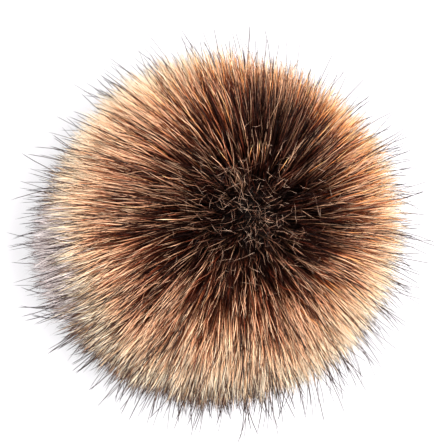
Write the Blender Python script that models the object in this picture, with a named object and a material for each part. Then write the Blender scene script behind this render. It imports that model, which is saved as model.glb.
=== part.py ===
"""A faux fur pom pom, standing on a flat surface with its crown up.

The pile is one solid: a dense ball of fur in which the roots of the locks are fused, and separate
three-sided locks that rise from it. The locks that point down are shorter, so that their tips rest
level on the surface round a small flat foot. Lengths are in metres and +Z is up.
"""

import math
import random

import bmesh
import bpy
from mathutils import Vector, noise

PILE_RADIUS = 0.0605  # the dense pile, from the middle of the ball to its visible edge
GUARD_RADIUS = 0.0705  # the tips of the longest guard hairs
BACKING_RADIUS = 0.0455  # the fused fur from which the locks rise
CENTRE_HEIGHT = 0.0535  # the middle of the ball stands lower than its radius, as the pile is pressed
FOOT_RADIUS = 0.0095  # the flat spot under the ball

ROOT_POINTS = 150  # the corners that the locks share on the backing, which give 2n - 4 triangles
LOCK_SPREADS = (
    # share of the length, share of the width
    (0.00, 0.90),
    (0.34, 0.76),
    (0.64, 0.50),
    (0.86, 0.22),
)
SHORTEST_PILE = 0.97  # an ordinary lock's tip, as a share of the pile radius
LONGEST_PILE = 1.07
GUARD_EVERY = 5  # one lock in this many ends in guard hairs

SWIRL = 0.26  # sideways lean of a lock's tip, as a share of its length, alike in neighbours
DROOP = 0.14  # lean towards the surface below, on the sides of the ball
STRAY = 0.07  # lean of each lock by itself
SWIRL_SCALE = 1.7  # how often the lean changes its direction round the ball
GOLDEN_ANGLE = math.pi * (3 - math.sqrt(5))
SEED = 7

DOWN = Vector((0, 0, -1))
CENTRE = Vector((0, 0, CENTRE_HEIGHT))
FUR_COLOUR = (0.36, 0.20, 0.12, 1.0)


def clear_scene():
    for obj in list(bpy.data.objects):
        bpy.data.objects.remove(obj, do_unlink=True)


def spiral_directions(count):
    """Unit vectors spread evenly over a sphere along a spiral, the last one straight down."""
    directions = []
    for i in range(count):
        height = 1 - 2 * i / (count - 1)
        across = math.sqrt(max(0.0, 1 - height * height))
        turn = i * GOLDEN_ANGLE
        directions.append(Vector((across * math.cos(turn), across * math.sin(turn), height)))
    return directions


def sphere_triangles(directions):
    """The triangles between neighbouring directions, as three indices that turn outwards.

    They are sorted, because the hull lists its faces in an order that changes from run to run.
    """
    net = bmesh.new()
    for direction in directions:
        net.verts.new(direction)
    net.verts.index_update()
    bmesh.ops.convex_hull(net, input=net.verts)
    triangles = []
    for face in net.faces:
        corners = [vertex.index for vertex in face.verts]
        if face.normal.dot(face.calc_center_median()) < 0:
            corners.reverse()
        first = corners.index(min(corners))
        triangles.append(corners[first:] + corners[:first])
    net.free()
    return sorted(triangles)


def flat_to(direction, vector):
    """The part of a vector that lies along the ball's surface."""
    return vector - direction * vector.dot(direction)


def lean_of(direction, chance):
    """The sideways way that a lock takes, as a share of its length."""
    swirl = noise.noise_vector(direction * SWIRL_SCALE)
    stray = Vector([chance.uniform(-1, 1) for _ in range(3)])
    lean = flat_to(direction, swirl * 2 * SWIRL + DOWN * DROOP + stray * STRAY)
    return lean * min(1.0, SWIRL / max(lean.length, 1e-9))


def free_length(number, chance):
    """The length of a lock that nothing presses on."""
    if number % GUARD_EVERY == 0:
        return GUARD_RADIUS - BACKING_RADIUS
    return PILE_RADIUS * chance.uniform(SHORTEST_PILE, LONGEST_PILE) - BACKING_RADIUS


def length_to_floor(direction, lean):
    """The length at which a lock's tip rests on the surface, or none if it points up."""
    fall = direction.z + lean.z
    if fall >= 0:
        return math.inf
    return -(CENTRE_HEIGHT + BACKING_RADIUS * direction.z) / fall


def lock_point(direction, corner, share, spread, length, lean):
    """A point of a lock: share runs from its root to its tip, spread from its line to its side."""
    reach = BACKING_RADIUS + share * length
    across = (corner - direction) * spread
    return CENTRE + (direction + across) * reach + lean * (length * share * share)


def add_lock(points, faces, corners, outline, number, chance):
    """Adds one three-sided lock, joined to the backing along its outline."""
    direction = sum(corners, Vector()).normalized()
    lean = lean_of(direction, chance)
    length = min(free_length(number, chance), length_to_floor(direction, lean))
    below = outline
    for share, spread in LOCK_SPREADS:
        ring = []
        for corner in corners:
            ring.append(len(points))
            points.append(lock_point(direction, corner, share, spread, length, lean))
        for side in range(3):
            after = (side + 1) % 3
            faces.append((below[side], below[after], ring[after], ring[side]))
        below = ring
    tip = len(points)
    points.append(lock_point(direction, direction, 1.0, 0.0, length, lean))
    for side in range(3):
        faces.append((below[side], below[(side + 1) % 3], tip))


def add_foot(points, faces, rim, directions):
    """Adds the flat spot: the fur round the lowest point, pressed down to the surface."""
    rim = sorted(rim, key=lambda i: math.atan2(directions[i].y, directions[i].x))
    ring = []
    for index in rim:
        around = Vector((directions[index].x, directions[index].y, 0)).normalized()
        ring.append(len(points))
        points.append(around * FOOT_RADIUS)
    for side, index in enumerate(rim):
        after = (side + 1) % len(rim)
        faces.append((rim[after], index, ring[side], ring[after]))
    faces.append(tuple(reversed(ring)))


def fur_ball_mesh():
    directions = spiral_directions(ROOT_POINTS)
    lowest = ROOT_POINTS - 1
    noise.seed_set(SEED)
    chance = random.Random(SEED)
    points = [CENTRE + direction * BACKING_RADIUS for direction in directions[:lowest]]
    faces = []
    foot_rim = set()
    for number, triangle in enumerate(sphere_triangles(directions)):
        if lowest in triangle:
            foot_rim.update(index for index in triangle if index != lowest)
            continue
        corners = [directions[index] for index in triangle]
        add_lock(points, faces, corners, triangle, number, chance)
    add_foot(points, faces, foot_rim, directions)
    mesh = bpy.data.meshes.new("fur_ball")
    mesh.from_pydata(points, [], faces)
    mesh.validate()
    return mesh


def fur_material():
    material = bpy.data.materials.new("fur")
    material.use_nodes = True
    shader = material.node_tree.nodes["Principled BSDF"]
    shader.inputs["Base Color"].default_value = FUR_COLOUR
    shader.inputs["Roughness"].default_value = 0.85
    shader.inputs["Metallic"].default_value = 0.0
    return material


def build():
    clear_scene()
    ball = bpy.data.objects.new("fur_ball", fur_ball_mesh())
    ball.data.materials.append(fur_material())
    bpy.context.scene.collection.objects.link(ball)


build()
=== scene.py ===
"""The looks of a long-haired faux fur pom pom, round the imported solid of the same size.

The pile is made of closed three-sided strands, joined into a few meshes: the coat, finer hairs over
it, guard hairs with dark tips, and short bent strays that lie across the crown. Under them lies a
lumpy undercoat, which stands for the solid. Lengths are in metres, and +Z runs up through the crown.
"""

import math
from dataclasses import dataclass

import bmesh
import bpy
import numpy as np
from mathutils import Matrix, Vector


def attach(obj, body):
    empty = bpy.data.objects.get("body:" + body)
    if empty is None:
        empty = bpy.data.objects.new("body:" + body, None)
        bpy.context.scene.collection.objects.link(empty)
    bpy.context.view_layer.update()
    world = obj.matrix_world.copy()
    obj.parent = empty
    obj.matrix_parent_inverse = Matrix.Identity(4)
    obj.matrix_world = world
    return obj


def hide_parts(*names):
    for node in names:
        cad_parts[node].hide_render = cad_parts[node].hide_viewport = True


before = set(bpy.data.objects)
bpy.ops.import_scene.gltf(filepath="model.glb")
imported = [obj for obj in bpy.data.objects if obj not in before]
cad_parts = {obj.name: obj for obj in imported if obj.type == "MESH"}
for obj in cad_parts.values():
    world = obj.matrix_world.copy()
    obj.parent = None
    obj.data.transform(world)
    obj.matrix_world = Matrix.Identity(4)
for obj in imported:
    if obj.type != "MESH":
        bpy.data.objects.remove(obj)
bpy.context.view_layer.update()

# The ball, as in the solid
CENTRE_HEIGHT = 0.0535
PILE_RADIUS = 0.0605
LONGEST_REACH = 0.0735  # how far from the ball's middle the longest hairs may grow
CENTRE = np.array((0.0, 0.0, CENTRE_HEIGHT))

# The photograph: its frame, how large the ball is in it and from where it is seen
FRAME_WIDTH, FRAME_HEIGHT = 445, 448
PIXELS_PER_METRE = 3000
BALL_PIXEL = (218, 234)
CAMERA_ELEVATION = math.radians(73)
CAMERA_ROLL = math.radians(56)
CAMERA_DISTANCE = 0.8

# Spots of the ball, as pixels of the photograph
FLOW_SPOT = (278, 196)  # the hairs lean away from here
CROWN_SPOT = (246, 214)  # the fur is darkest and most tangled here, and gets paler all round
GREY_AND_SHADE_SPOT = (40, 262)  # the fur is drawn grey here: partly its own greyer underfur, partly painted shade
WARM_SPOT = (318, 116)  # the rim of the fur is more orange here
FULL_SPOT = (380, 235)  # the guard hairs are longest on this side
LOW_SPOT = (122, 382)  # the hairs have more black in their tips here

FLOW_STRENGTH = 0.62
LOCK_STRAY = 0.035  # how far the tip of a lock is off its course, as a share of the ball's radius
SIZE_SPOTS = (
    # where the pile stands out more or less than elsewhere: pixel, width in degrees, share of its radius
    (GREY_AND_SHADE_SPOT, 22, 0.032),
    (FULL_SPOT, 34, 0.028),
    ((310, 96), 24, 0.012),
    ((210, 58), 24, -0.022),
    ((86, 116), 28, -0.060),
    ((224, 405), 34, -0.084),
)
COLOUR_SPOTS = (
    # where the fur is darker or paler than elsewhere: pixel, width in degrees, shift in degrees
    ((276, 98), 26, -29),
    ((136, 324), 20, -25),
    ((345, 212), 21, -17),
    ((332, 140), 18, -5),
    ((300, 280), 16, -3),
    ((345, 345), 18, 4),
    ((130, 236), 20, -8),
    ((206, 224), 14, -8),
    ((250, 150), 13, 11),
    ((290, 176), 12, 9),
    ((240, 312), 14, 6),
    ((172, 284), 12, 4),
    ((94, 110), 13, -12),
    ((244, 96), 14, -4),
)
SPARSE_SPOTS = (
    # where fewer guard hairs grow: pixel, width in degrees, share that is missing
    ((290, 90), 36, 0.70),
    (GREY_AND_SHADE_SPOT, 26, 0.50),
    ((380, 256), 30, 0.35),
    ((94, 110), 26, 0.50),
)
LOCK_SHADES = 0.20  # how much paler or darker one lock is than another
PAINTED_RIM_GLOW = 0.40  # painted rim glow: how much paler the hairs are drawn at the rim, as if lit from behind, but not at the low spot
FLOOR_GAP = 0.0004  # the least height of a hair's middle line over the surface
LOCKS = 3600
CROWN_STRAYS = 320
SEED = 11

# Places in the order of the colours, which starts at 0 at the crown
FAR_PLACE, WARM_PLACE, GREY_AND_SHADE_PLACE = 150, 165, 180
SHADE_BY_PLACE = (
    # place in the order of the colours, then how much paler the hairs are there
    (14, -0.54),
    (22, -0.34),
    (32, -0.11),
    (45, 0.0),
    (65, 0.02),
    (90, 0.13),
    (FAR_PLACE, 0.13),
    (WARM_PLACE, -0.29),
    (GREY_AND_SHADE_PLACE, 0.5),
)


def image_axes():
    """The directions to the right and up in the image, and towards the camera."""
    flat_right = Vector((1, 0, 0))
    towards = Vector((0, -math.cos(CAMERA_ELEVATION), math.sin(CAMERA_ELEVATION)))
    flat_up = towards.cross(flat_right)
    turn, rise = math.cos(CAMERA_ROLL), math.sin(CAMERA_ROLL)
    right = flat_right * turn + flat_up * rise
    up = flat_up * turn - flat_right * rise
    return right, up, towards


def direction_at(pixel):
    """The direction from the ball's middle to the spot of its surface that is seen at a pixel."""
    right, up, towards = image_axes()
    radius = PILE_RADIUS * PIXELS_PER_METRE
    across = (pixel[0] - BALL_PIXEL[0]) / radius
    above = (BALL_PIXEL[1] - pixel[1]) / radius
    ahead = math.sqrt(1 - across * across - above * above)
    return np.array(right * across + up * above + towards * ahead)


FLOW_AXIS = direction_at(FLOW_SPOT)
CROWN_AXIS = direction_at(CROWN_SPOT)
GREY_AND_SHADE_AXIS = direction_at(GREY_AND_SHADE_SPOT)
WARM_AXIS = direction_at(WARM_SPOT)
FULL_AXIS = direction_at(FULL_SPOT)
LOW_AXIS = direction_at(LOW_SPOT)


# Vectors and random fields

def unit(vectors):
    return vectors / np.linalg.norm(vectors, axis=-1, keepdims=True)


def flat_to(directions, vectors):
    """The part of each vector that lies along the ball's surface."""
    return vectors - directions * np.sum(vectors * directions, axis=-1, keepdims=True)


def smooth_field(chance, scale, waves=28):
    """A function that gives a smooth random vector, about 1 long, for each point on a unit ball."""
    wave_vectors = chance.normal(size=(waves, 3)) * scale
    phases = chance.uniform(0, 2 * math.pi, size=waves)
    ways = chance.normal(size=(waves, 3)) * math.sqrt(2 / (3 * waves))

    def field(points):
        return np.sin(points @ wave_vectors.T + phases) @ ways

    return field


def even_directions(count, chance, jitter):
    """Directions spread evenly over a sphere, each moved a little at random."""
    steps = np.arange(count) + 0.5
    heights = 1 - 2 * steps / count
    turns = steps * math.pi * (3 - math.sqrt(5))
    across = np.sqrt(1 - heights * heights)
    directions = np.stack((across * np.cos(turns), across * np.sin(turns), heights), axis=1)
    spacing = math.sqrt(4 * math.pi / count)
    return unit(directions + chance.normal(size=(count, 3)) * jitter * spacing)


def angle_from(axis, directions):
    """The angle between an axis and each direction, in degrees."""
    return np.degrees(np.arccos(np.clip(directions @ axis, -1, 1)))


def near(axis, directions, width):
    """1 at an axis, falling smoothly to 0 well beyond the width in degrees."""
    return np.exp(-(angle_from(axis, directions) / width) ** 2)


# The course of the hairs

field_chance = np.random.default_rng(SEED)
LUMPS = smooth_field(field_chance, 3.2)
SWIRLS = smooth_field(field_chance, 2.4)
WISPS = smooth_field(field_chance, 9.0)
PATCHES = smooth_field(field_chance, 5.0)


def lean_at(directions):
    """How far a hair moves sideways for each step outwards: away from the crown, with swirls."""
    away = flat_to(directions, directions - FLOW_STRENGTH * FLOW_AXIS)
    outwards = np.sum(directions * (directions - FLOW_STRENGTH * FLOW_AXIS), axis=1, keepdims=True)
    swirl = flat_to(directions, SWIRLS(directions) * 0.14 + WISPS(directions) * 0.10)
    return away / outwards + swirl


def grow(directions, roots, tips, shares, stray, chance):
    """The points of each hair, as directions and distances from the ball's middle."""
    stray = stray * (1 + 1.6 * near(CROWN_AXIS, directions, 20))[:, None]
    lean = lean_at(directions) + flat_to(directions, chance.normal(size=directions.shape)) * stray
    bend = flat_to(directions, chance.normal(size=directions.shape)) * stray * 0.5
    out = []
    reach = []
    for share in shares:
        distance = roots + (tips - roots) * share
        steps = ((distance - roots) / (0.5 * (roots + tips)))[:, None]
        out.append(unit(directions + (lean + bend * (share - 0.5)) * steps))
        reach.append(distance)
    return np.stack(out, axis=1), np.stack(reach, axis=1)


def nearest(directions, guides):
    """The number of the nearest guide to each direction."""
    found = np.empty(len(directions), dtype=int)
    block = 4096
    for start in range(0, len(directions), block):
        part = directions[start:start + block]
        found[start:start + block] = np.argmax(part @ guides.T, axis=1)
    return found


def gather(course, own, directions, guides, shares, pull):
    """Draws the hairs of each lock together towards their tips, and lets each lock lean its own way."""
    away = directions - guides[own]
    aside = np.random.default_rng(SEED + 3).normal(size=guides.shape)[own] * LOCK_STRAY
    for number, share in enumerate(shares):
        drawn = away * (pull * share ** 1.4)[:, None] - flat_to(directions, aside) * share ** 1.2
        course[:, number] = unit(course[:, number] - drawn)
    return course


def swell(directions):
    """How far the pile stands out, as a share of its radius: by its spots, gentle lumps and wisps."""
    lumps = 0.022 * LUMPS(directions)[:, 0] + 0.018 * WISPS(directions)[:, 1]
    for spot, width, share in SIZE_SPOTS:
        lumps += share * near(direction_at(spot), directions, width)
    return 1.01 + lumps


def press_to_floor(points, chance):
    """Bends the hairs that would go through the surface, so that they lie along it."""
    rest = FLOOR_GAP + chance.uniform(0, 1, size=(len(points), 1)) ** 2 * 0.004
    depth = np.maximum(rest - points[..., 2], 0)
    around = points[..., :2]
    outwards = around / np.maximum(np.linalg.norm(around, axis=-1, keepdims=True), 1e-4)
    points[..., :2] += outwards * depth[..., None] * 0.7
    points[..., 2] += depth
    return points


# Meshes of strands

ZONES = 25
VARIANTS = 8
COLUMNS = ZONES * VARIANTS
MAP_NAME = "OFBake"
CORNER_TURNS = np.radians((0.0, 120.0, 240.0))


def strand_mesh(name, lines, rings_at, widths, profile, columns, chance):
    """A mesh of closed three-sided strands along lines of points, the last point being the tip.

    Each strand has its own column of the map, and the map's height runs from its root to its tip.
    """
    count, rings = lines.shape[0], lines.shape[1] - 1
    ahead = np.empty((count, rings, 3))
    ahead[:, 0] = lines[:, 1] - lines[:, 0]
    ahead[:, 1:] = lines[:, 2:] - lines[:, :-2]
    ahead = unit(ahead)
    side = unit(flat_to(ahead, chance.normal(size=(count, 1, 3))))
    other = np.cross(ahead, side)
    radii = widths[:, None] / 2 * profile
    corners = np.empty((count, rings, 3, 3))
    for corner, turn in enumerate(CORNER_TURNS):
        spoke = side * math.cos(turn) + other * math.sin(turn)
        corners[:, :, corner] = lines[:, :rings] + spoke * radii[..., None]
    per_strand = rings * 3 + 1
    points = np.concatenate((corners.reshape(count, rings * 3, 3), lines[:, -1:]), axis=1)

    heights = 0.02 + 0.96 * np.array(rings_at)
    loops, starts, ups, rights = [], [0], [], []

    def face(indices, heights_of, rights_of):
        loops.extend(indices)
        starts.append(starts[-1] + len(indices))
        ups.extend(heights_of)
        rights.extend(rights_of)

    face((2, 1, 0), (heights[0], heights[0], heights[0] + 0.01), (0, 1, 0.5))
    for ring in range(rings - 1):
        for corner in range(3):
            after = (corner + 1) % 3
            low, high = ring * 3, ring * 3 + 3
            face(
                (low + corner, low + after, high + after, high + corner),
                (heights[ring], heights[ring], heights[ring + 1], heights[ring + 1]),
                (0, 1, 1, 0),
            )
    for corner in range(3):
        low = (rings - 1) * 3
        face(
            (low + corner, low + (corner + 1) % 3, rings * 3),
            (heights[-2], heights[-2], heights[-1]),
            (0, 1, 0.5),
        )
    faces, corners_in_all = len(starts) - 1, len(loops)
    strands = np.arange(count)[:, None]
    mesh = bpy.data.meshes.new(name)
    mesh.vertices.add(count * per_strand)
    mesh.vertices.foreach_set("co", points.astype(np.float32).ravel())
    mesh.loops.add(count * corners_in_all)
    mesh.loops.foreach_set("vertex_index", (np.array(loops) + strands * per_strand).ravel())
    mesh.polygons.add(count * faces)
    mesh.polygons.foreach_set(
        "loop_start", (np.array(starts[:-1]) + strands * corners_in_all).ravel()
    )
    mesh.update(calc_edges=True)
    uv = np.empty((count, corners_in_all, 2), dtype=np.float32)
    uv[..., 0] = (columns[:, None] + 0.15 + 0.7 * np.array(rights)) / COLUMNS
    uv[..., 1] = np.array(ups)
    mesh.uv_layers.new(name=MAP_NAME).uv.foreach_set("vector", uv.ravel())
    mesh.shade_smooth()
    return mesh


def colour_angle(directions, chance):
    """Where a hair is in the order of the colours, from 0 at the crown to 150 opposite it.

    It is the angle from the crown in degrees, made uneven, and shifted in some places. The warm spot
    and the grey one are beyond all others, at 165 and 180.
    """
    angle = angle_from(CROWN_AXIS, directions)
    for spot, width, shift in COLOUR_SPOTS:
        angle += shift * near(direction_at(spot), directions, width)
    uneven = np.interp(angle, (65, 100), (6, 13))
    angle += uneven * PATCHES(directions)[:, 0] + 9 * chance.normal(size=len(directions))
    angle += np.interp(directions @ LOW_AXIS, (0.45, 0.80), (0, 14))
    # hairs near the grey spot are drawn grey: partly their own greyer underfur, partly painted shade
    grey = np.interp(angle_from(GREY_AND_SHADE_AXIS, directions), (12, 30), (1, 0)) * (angle > 60)
    warm = 0.95 * near(WARM_AXIS, directions, 38) * np.interp(angle, (26, 46), (0, 1))
    draw = chance.uniform(size=len(directions))
    return np.select((draw < grey, draw < warm), (GREY_AND_SHADE_PLACE, WARM_PLACE), np.clip(angle, 0, FAR_PLACE))


def column_of(angle, shade):
    """The map's column of each strand, from the angle of its place and its own shade, 0 to 1."""
    zone = np.clip(np.round(angle / GREY_AND_SHADE_PLACE * (ZONES - 1)), 0, ZONES - 1)
    return zone * VARIANTS + np.clip(np.floor(shade * VARIANTS), 0, VARIANTS - 1)


def add_piece(name, mesh, material):
    piece = bpy.data.objects.new(name, mesh)
    bpy.context.scene.collection.objects.link(piece)
    mesh.materials.append(material)
    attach(piece, "root")
    return piece


# Materials

def linear(red, green, blue):
    """A colour given as on a screen, from 0 to 255, in the linear light that the nodes use."""
    values = []
    for value in (red, green, blue):
        share = value / 255
        values.append(share / 12.92 if share <= 0.04045 else ((share + 0.055) / 1.055) ** 2.4)
    return (*values, 1.0)


class Nodes:
    """Adds and links the nodes of one material."""

    def __init__(self, name):
        self.material = bpy.data.materials.new(name)
        self.material.use_nodes = True
        self.tree = self.material.node_tree
        self.shader = self.tree.nodes["Principled BSDF"]

    def add(self, kind, **settings):
        node = self.tree.nodes.new(kind)
        for key, value in settings.items():
            setattr(node, key, value)
        return node

    def link(self, source, target):
        self.tree.links.new(source, target)

    def math(self, operation, first, second=None):
        node = self.add("ShaderNodeMath", operation=operation)
        for socket, value in zip(node.inputs, (first, second)):
            if value is None:
                continue
            if isinstance(value, (int, float)):
                socket.default_value = value
            else:
                self.link(value, socket)
        return node.outputs[0]

    def ramp(self, factor, stops):
        """A colour that changes along its stops, each a place and a colour."""
        node = self.add("ShaderNodeValToRGB")
        elements = node.color_ramp.elements
        while len(elements) < len(stops):
            elements.new(0.5)
        for element, (place, colour) in zip(elements, stops):
            element.position = place
            element.color = colour
        self.link(factor, node.inputs[0])
        return node.outputs[0]

    def mix(self, factor, first, second, blend="MIX"):
        node = self.add("ShaderNodeMix", data_type="RGBA", blend_type=blend, clamp_result=True)
        for socket, value in zip((node.inputs[0], node.inputs[6], node.inputs[7]), (factor, first, second)):
            if isinstance(value, (int, float, tuple)):
                socket.default_value = value
            else:
                self.link(value, socket)
        return node.outputs[2]

    def between(self, value, low, high):
        """0 up to the low value and 1 from the high one on."""
        node = self.add("ShaderNodeMapRange", clamp=True)
        node.inputs["From Min"].default_value = low
        node.inputs["From Max"].default_value = high
        self.link(value, node.inputs["Value"])
        return node.outputs["Result"]


# The colours of a hair from its root to its tip, each with its place on the hair
BELLY_COAT = (
    (0.0, 104, 80, 66), (0.4, 204, 172, 140), (0.62, 228, 204, 178),
    (0.82, 110, 84, 70), (1.0, 32, 24, 23),
)
BELLY_GUARD = ((0.0, 80, 58, 46), (0.35, 180, 148, 120), (0.52, 60, 44, 38), (1.0, 17, 13, 13))
COAT_COLOURS = (
    # place in the order of the colours, then the hair's own: place on it, red, green and blue
    (20, ((0.0, 6, 2, 2), (0.55, 30, 12, 8), (0.82, 96, 50, 36), (1.0, 112, 68, 52))),
    (36, ((0.0, 12, 4, 3), (0.50, 82, 27, 17), (0.80, 194, 106, 72), (1.0, 224, 152, 114))),
    # At 54 and 82 the palest tips are partly the fur's own cream and partly a painted rim glow
    (54, (
        (0.0, 34, 14, 8), (0.45, 152, 74, 46), (0.70, 242, 182, 136),
        (0.88, 255, 230, 186), (1.0, 255, 246, 214),
    )),
    (82, ((0.0, 130, 78, 50), (0.38, 240, 192, 146), (0.58, 255, 244, 214), (1.0, 255, 254, 238))),
    (101, (
        (0.0, 126, 82, 56), (0.4, 230, 184, 134), (0.62, 246, 208, 164),
        (0.79, 112, 76, 58), (1.0, 32, 21, 19),
    )),
    (135, BELLY_COAT),
    (FAR_PLACE, BELLY_COAT),
    (WARM_PLACE, (
        (0.0, 40, 14, 8), (0.45, 150, 64, 33), (0.70, 222, 144, 87),
        (0.88, 248, 206, 144), (1.0, 255, 240, 192),
    )),
    # the grey spot's hairs: partly their own greyer underfur, partly painted shade
    (175, (
        (0.0, 176, 160, 164), (0.4, 214, 201, 198), (0.76, 228, 216, 214),
        (0.9, 130, 114, 111), (1.0, 42, 34, 35),
    )),
)
GUARD_COLOURS = (
    (25, ((0.0, 20, 10, 7), (0.4, 66, 32, 21), (0.6, 52, 26, 18), (1.0, 22, 12, 10))),
    (70, ((0.0, 40, 21, 14), (0.35, 140, 88, 58), (0.52, 62, 36, 27), (1.0, 16, 11, 10))),
    (95, ((0.0, 80, 54, 38), (0.35, 200, 160, 116), (0.52, 60, 42, 34), (1.0, 15, 12, 13))),
    (135, BELLY_GUARD),
    (WARM_PLACE, BELLY_GUARD),
    # the grey spot's guard hairs: partly their own greyer colour, partly painted shade
    (175, ((0.0, 80, 66, 62), (0.35, 170, 154, 150), (0.5, 62, 52, 53), (1.0, 20, 17, 20))),
)
STRAY_COLOURS = ((25, ((0.0, 70, 46, 36), (0.5, 150, 114, 92), (1.0, 214, 184, 164))),)
PALE_HAIR = ((0.3, linear(126, 76, 54)), (0.6, linear(228, 172, 130)), (1.0, linear(255, 230, 198)))
SHADES = (
    # place among the variants, then what its red, green and blue are multiplied by
    (0.0, (0.08, 0.05, 0.042, 1)),
    (0.3, (0.16, 0.085, 0.064, 1)),
    (0.5, (0.55, 0.37, 0.30, 1)),
    (0.68, (1.0, 1.0, 1.0, 1)),
)


def hair_material(name, zone_colours, shine, pale):
    """A hair's colour, from its column on the map and its height in it."""
    nodes = Nodes(name)
    place = nodes.add("ShaderNodeUVMap", uv_map=MAP_NAME)
    parts = nodes.add("ShaderNodeSeparateXYZ")
    nodes.link(place.outputs[0], parts.inputs[0])
    column = nodes.math("FLOOR", nodes.math("MULTIPLY", parts.outputs[0], COLUMNS))
    zone = nodes.math("FLOOR", nodes.math("DIVIDE", nodes.math("ADD", column, 0.5), VARIANTS))
    variant = nodes.math("SUBTRACT", column, nodes.math("MULTIPLY", zone, VARIANTS))
    shade = nodes.math("DIVIDE", variant, VARIANTS - 1)
    angle = nodes.math("MULTIPLY", zone, GREY_AND_SHADE_PLACE / (ZONES - 1))
    along = parts.outputs[1]
    colour = None
    before = None
    for degrees, stops in zone_colours:
        here = nodes.ramp(along, [(stop, linear(*rgb)) for stop, *rgb in stops])
        if colour is None:
            colour = here
        else:
            colour = nodes.mix(nodes.between(angle, before, degrees), colour, here)
        before = degrees
    colour = nodes.mix(1.0, colour, nodes.ramp(shade, SHADES), "MULTIPLY")
    if pale:
        bleached = nodes.math("MULTIPLY", nodes.between(shade, 0.50, 1.05), nodes.between(angle, -8, 52))
        bleached = nodes.math("MULTIPLY", bleached, nodes.between(angle, 92, 64))
        colour = nodes.mix(bleached, colour, nodes.ramp(along, PALE_HAIR))
    nodes.link(colour, nodes.shader.inputs["Base Color"])
    nodes.shader.inputs["Roughness"].default_value = 0.45
    nodes.shader.inputs["Specular IOR Level"].default_value = shine
    return nodes.material


def undercoat_material():
    """Dark wool at the crown, paler brown below, with a fine uneven grain; its dark is partly painted shade.
    """
    nodes = Nodes("undercoat wool")
    place = nodes.add("ShaderNodeTexCoord").outputs["Object"]
    grain = nodes.add("ShaderNodeTexNoise")
    grain.inputs["Scale"].default_value = 900
    grain.inputs["Detail"].default_value = 4
    nodes.link(place, grain.inputs["Vector"])
    axis = nodes.add("ShaderNodeVectorMath", operation="DOT_PRODUCT")
    centred = nodes.add("ShaderNodeVectorMath", operation="SUBTRACT")
    nodes.link(place, centred.inputs[0])
    centred.inputs[1].default_value = CENTRE
    outwards = nodes.add("ShaderNodeVectorMath", operation="NORMALIZE")
    nodes.link(centred.outputs[0], outwards.inputs[0])
    nodes.link(outwards.outputs[0], axis.inputs[0])
    axis.inputs[1].default_value = CROWN_AXIS
    height = nodes.between(axis.outputs["Value"], -1, 1)
    stops = (
        (0.0, linear(92, 72, 60)),
        (0.40, linear(110, 84, 66)),
        (0.62, linear(92, 54, 36)),
        (0.80, linear(46, 25, 18)),
        (1.0, linear(18, 11, 9)),
    )
    colour = nodes.ramp(height, stops)
    speckle = nodes.ramp(grain.outputs[0], ((0.35, (0.35, 0.32, 0.3, 1)), (0.65, (1, 1, 1, 1))))
    colour = nodes.mix(1.0, colour, speckle, "MULTIPLY")
    nodes.link(colour, nodes.shader.inputs["Base Color"])
    nodes.shader.inputs["Roughness"].default_value = 0.95
    nodes.shader.inputs["Specular IOR Level"].default_value = 0.1
    bump = nodes.add("ShaderNodeBump")
    bump.inputs["Strength"].default_value = 0.8
    bump.inputs["Distance"].default_value = 0.0006
    nodes.link(grain.outputs[0], bump.inputs["Height"])
    nodes.link(bump.outputs[0], nodes.shader.inputs["Normal"])
    return nodes.material


# Pieces

UNDERCOAT_RADIUS = 0.042


def add_undercoat():
    """The matted fur at the roots of the hairs: a lumpy ball inside the pile."""
    shape = bmesh.new()
    bmesh.ops.create_icosphere(shape, subdivisions=5, radius=1)
    directions = np.array([vertex.co[:] for vertex in shape.verts])
    lumps = 1 + 0.03 * WISPS(directions)[:, 0] + 0.03 * LUMPS(directions)[:, 1]
    places = CENTRE + directions * (UNDERCOAT_RADIUS * lumps)[:, None]
    for vertex, spot in zip(shape.verts, places):
        vertex.co = spot
    mesh = bpy.data.meshes.new("undercoat")
    shape.to_mesh(mesh)
    shape.free()
    mesh.shade_smooth()
    piece = add_piece("undercoat", mesh, undercoat_material())
    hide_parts("fur_ball")


@dataclass
class Hairs:
    """One kind of hair, and how the hairs of this kind differ from one another."""

    count: int
    roots: tuple  # distance from the middle of the ball, lowest and highest
    tips: tuple  # the same as a share of the pile's radius, lowest and highest
    tip_spread: tuple  # the two shape values of the beta curve between them
    rings: tuple  # places of the rings and of the tip along the hair
    profile: tuple  # the width at each ring, as a share of the hair's width
    widths: tuple  # lowest and highest
    stray: float  # how far a hair goes its own way
    pull: tuple  # how far a hair is drawn to its lock, lowest and highest
    shade: float  # 0 dark to 1 pale
    painted_depth_shade: float  # how much paler the longest hairs are than the shortest: painted shade, darker deeper in the pile
    shade_spread: float
    odd: float = 0.0  # about the share of much paler hairs and of much darker ones, twice at the crown
    sparse: bool = False  # whether fewer of them grow at the sparse spots
    lopsided: float = 0.0  # how much longer they are at the full spot, as a share of their reach


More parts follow.
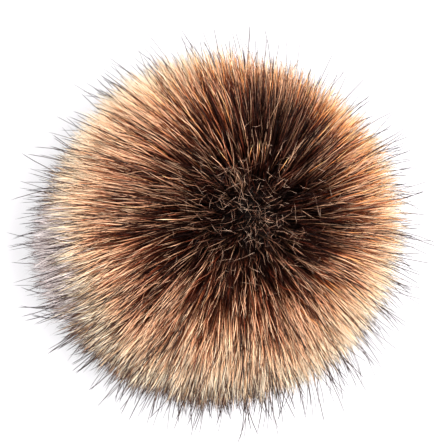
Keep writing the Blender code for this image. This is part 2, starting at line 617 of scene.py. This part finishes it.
# The under hairs are dark: partly the fur's own darker underlayer, partly painted shade deep in the pile
UNDER_HAIRS = Hairs(
    count=13000, roots=(0.034, 0.044), tips=(0.79, 0.97), tip_spread=(1.6, 1.6),
    rings=(0.0, 0.6, 1.0), profile=(0.8, 1.0), widths=(0.00022, 0.00040), stray=0.10,
    pull=(0.3, 0.8), shade=0.13, painted_depth_shade=0.14, shade_spread=0.09,
)
TOP_HAIRS = Hairs(
    count=15500, roots=(0.038, 0.048), tips=(0.87, 1.065), tip_spread=(1.7, 1.8),
    rings=(0.0, 0.72, 1.0), profile=(0.8, 1.0), widths=(0.00014, 0.00027), stray=0.06,
    pull=(0.3, 0.9), shade=0.56, painted_depth_shade=0.44, shade_spread=0.28, odd=0.11,
)
FINE_HAIRS = Hairs(
    count=14000, roots=(0.040, 0.050), tips=(0.86, 1.10), tip_spread=(1.4, 1.9),
    rings=(0.0, 0.7, 1.0), profile=(0.8, 1.0), widths=(0.00012, 0.00020), stray=0.15,
    pull=(0.0, 0.6), shade=0.56, painted_depth_shade=0.44, shade_spread=0.28, odd=0.11,
)
GUARD_HAIRS = Hairs(
    count=2800, roots=(0.045, 0.050), tips=(0.95, 1.20), tip_spread=(1.0, 1.3),
    rings=(0.0, 0.4, 0.75, 0.92, 1.0), profile=(0.8, 1.0, 0.95, 0.75), widths=(0.00016, 0.00030), stray=0.09,
    pull=(0.0, 0.5), shade=0.58, painted_depth_shade=0.0, shade_spread=0.08, sparse=True, lopsided=0.10,
)


def add_hairs(name, kind, seed, material, guides):
    """One piece of hairs of a kind, gathered into locks round the guides."""
    chance = np.random.default_rng(seed)
    directions = even_directions(kind.count, chance, 0.8)
    directions = unit(directions + chance.normal(size=directions.shape) * 0.03)
    if kind.sparse:
        share = np.ones(kind.count)
        for spot, width, missing in SPARSE_SPOTS:
            share -= missing * near(direction_at(spot), directions, width)
        directions = directions[chance.uniform(size=kind.count) < share]
    count = len(directions)
    roots = chance.uniform(*kind.roots, size=count)
    outer = chance.beta(*kind.tip_spread, size=count)
    lowest, highest = kind.tips
    tips = PILE_RADIUS * swell(directions) * (lowest + (highest - lowest) * outer)
    tips = tips * (1 + kind.lopsided * np.maximum(directions @ FULL_AXIS, 0))
    tips = np.minimum(tips, LONGEST_REACH - 0.004 * chance.uniform(size=count) ** 2)
    course, reach = grow(directions, roots, tips, kind.rings, kind.stray, chance)
    pull = chance.uniform(*kind.pull, size=count)
    pull = np.maximum(pull, 0.8 * np.interp(directions @ LOW_AXIS, (0.3, 0.7), (0, 1)))
    own = nearest(directions, guides)
    course = gather(course, own, directions, guides, kind.rings, pull)
    lines = press_to_floor(CENTRE + course * reach[..., None], chance)
    angle = colour_angle(course[:, -2], chance)
    shade = kind.shade + kind.painted_depth_shade * (outer - 0.5)
    shade += kind.shade_spread * (chance.choice((-0.8, 0.8), size=count) + 0.5 * chance.normal(size=count))
    shade += LOCK_SHADES * np.random.default_rng(SEED + 2).normal(size=len(guides))[own]
    shade += np.interp(angle, *zip(*SHADE_BY_PLACE))
    # Painted light: rim hairs turned away from the low spot are drawn paler, as a glow from the light around
    # them
    lit = np.interp(directions @ LOW_AXIS, (0.0, 0.55), (1, 0))
    shade += PAINTED_RIM_GLOW * lit * np.interp(angle, (55, 75), (0, 1))
    odd = kind.odd * np.interp(angle, (20, 60), (2, 1))
    draw = chance.uniform(size=count)
    shade += np.where(draw < 0.8 * odd, -0.5, 0) + np.where(draw > 1 - 1.2 * odd, 0.5, 0)
    widths = chance.uniform(*kind.widths, size=count)
    widths *= np.interp(directions @ LOW_AXIS, (0.3, 0.7), (1, 1.15))
    widths *= np.interp(angle, (15, 45), (0.75, 1))
    columns = column_of(angle, shade)
    mesh = strand_mesh(name, lines, kind.rings, widths, np.array(kind.profile), columns, chance)
    add_piece(name, mesh, material)


def add_crown_strays(count):
    """Fine, slightly bent hairs that lie across the crown in all directions."""
    chance = np.random.default_rng(SEED + 400)
    rings = 4
    spots = unit(FLOW_AXIS * 0.35 + CROWN_AXIS * 0.65 + chance.normal(size=(count, 3)) * 0.20)
    way = unit(flat_to(spots, chance.normal(size=(count, 3))))
    turn = np.cross(spots, way)
    length = chance.uniform(0.0016, 0.006, size=count)
    curl = chance.normal(size=count) * 0.3
    height = PILE_RADIUS * (0.92 + 0.07 * chance.uniform(size=count))
    slope = chance.normal(size=count) * 0.5
    lines = np.empty((count, rings + 1, 3))
    for ring in range(rings + 1):
        along = ring / rings - 0.5
        forth = (length * along)[:, None] * way
        sideways = (length * curl * along * along)[:, None] * turn
        lift = height + length * slope * along
        lines[:, ring] = CENTRE + spots * lift[:, None] + forth + sideways
    shade = 0.65 + 0.34 * chance.normal(size=count)
    widths = chance.uniform(0.00006, 0.0001, size=count)
    profile = np.array((0.5, 0.9, 1.0, 0.8))
    columns = column_of(np.zeros(count), shade)
    rings_at = np.linspace(0, 1, rings + 1)
    mesh = strand_mesh("crown_strays", lines, rings_at, widths, profile, columns, chance)
    add_piece("crown_strays", mesh, hair_material("stray hair", STRAY_COLOURS, 0.4, False))


# Floor, light and camera

def add_floor():
    bpy.ops.mesh.primitive_plane_add(size=6)
    floor = bpy.context.object
    floor.name = "floor"
    nodes = Nodes("floor")
    nodes.shader.inputs["Base Color"].default_value = (0.22, 0.21, 0.23, 1)
    nodes.shader.inputs["Emission Color"].default_value = (1, 1, 1, 1)
    nodes.shader.inputs["Emission Strength"].default_value = 0.64
    nodes.shader.inputs["Roughness"].default_value = 0.9
    nodes.shader.inputs["Specular IOR Level"].default_value = 0.0
    floor.data.materials.append(nodes.material)


def add_camera():
    right, up, towards = image_axes()
    data = bpy.data.cameras.new("camera")
    data.sensor_fit = "HORIZONTAL"
    width = FRAME_WIDTH / PIXELS_PER_METRE
    data.lens = data.sensor_width * CAMERA_DISTANCE / width
    camera = bpy.data.objects.new("camera", data)
    bpy.context.scene.collection.objects.link(camera)
    across = (FRAME_WIDTH / 2 - BALL_PIXEL[0]) / PIXELS_PER_METRE
    above = (BALL_PIXEL[1] - FRAME_HEIGHT / 2) / PIXELS_PER_METRE
    place = Vector(CENTRE) + towards * CAMERA_DISTANCE + right * across + up * above
    camera.matrix_world = Matrix.Translation(place) @ Matrix((right, up, towards)).transposed().to_4x4()
    bpy.context.scene.camera = camera


def add_sun(name, across, above, ahead, strength, softness, colour):
    """A light from far away, placed by its direction in the image."""
    right, up, towards = image_axes()
    direction = (right * across + up * above + towards * ahead).normalized()
    data = bpy.data.lights.new(name, "SUN")
    data.energy = strength
    data.angle = math.radians(softness)
    data.color = colour
    lamp = bpy.data.objects.new(name, data)
    bpy.context.scene.collection.objects.link(lamp)
    lamp.rotation_euler = direction.to_track_quat("Z", "Y").to_euler()


def add_light():
    world = bpy.data.worlds.new("studio")
    world.use_nodes = True
    background = world.node_tree.nodes["Background"]
    background.inputs["Color"].default_value = (1, 1, 1, 1)
    background.inputs["Strength"].default_value = 0.95
    bpy.context.scene.world = world
    add_sun("key", 0.35, 0.03, 0.93, 7.6, 24, (1, 0.98, 0.95))
    add_sun("fill", -0.50, 0.55, 0.60, 3.0, 60, (1, 0.98, 0.95))
    bpy.context.scene.view_settings.view_transform = "Standard"


def build():
    add_camera()
    add_light()
    add_floor()
    guides = even_directions(LOCKS, np.random.default_rng(SEED + 1), 1.0)
    coat = hair_material("coat fur", COAT_COLOURS, 0.07, True)
    guard = hair_material("guard hair", GUARD_COLOURS, 0.15, False)
    add_undercoat()
    for part in (1, 2):
        add_hairs(f"under_hairs_{part}", UNDER_HAIRS, SEED + 100 + part, coat, guides)
    for part in (1, 2, 3):
        add_hairs(f"top_hairs_{part}", TOP_HAIRS, SEED + 110 + part, coat, guides)
    add_hairs("fine_hairs", FINE_HAIRS, SEED + 200, coat, guides)
    add_hairs("guard_hairs", GUARD_HAIRS, SEED + 300, guard, guides)
    add_crown_strays(CROWN_STRAYS)


build()
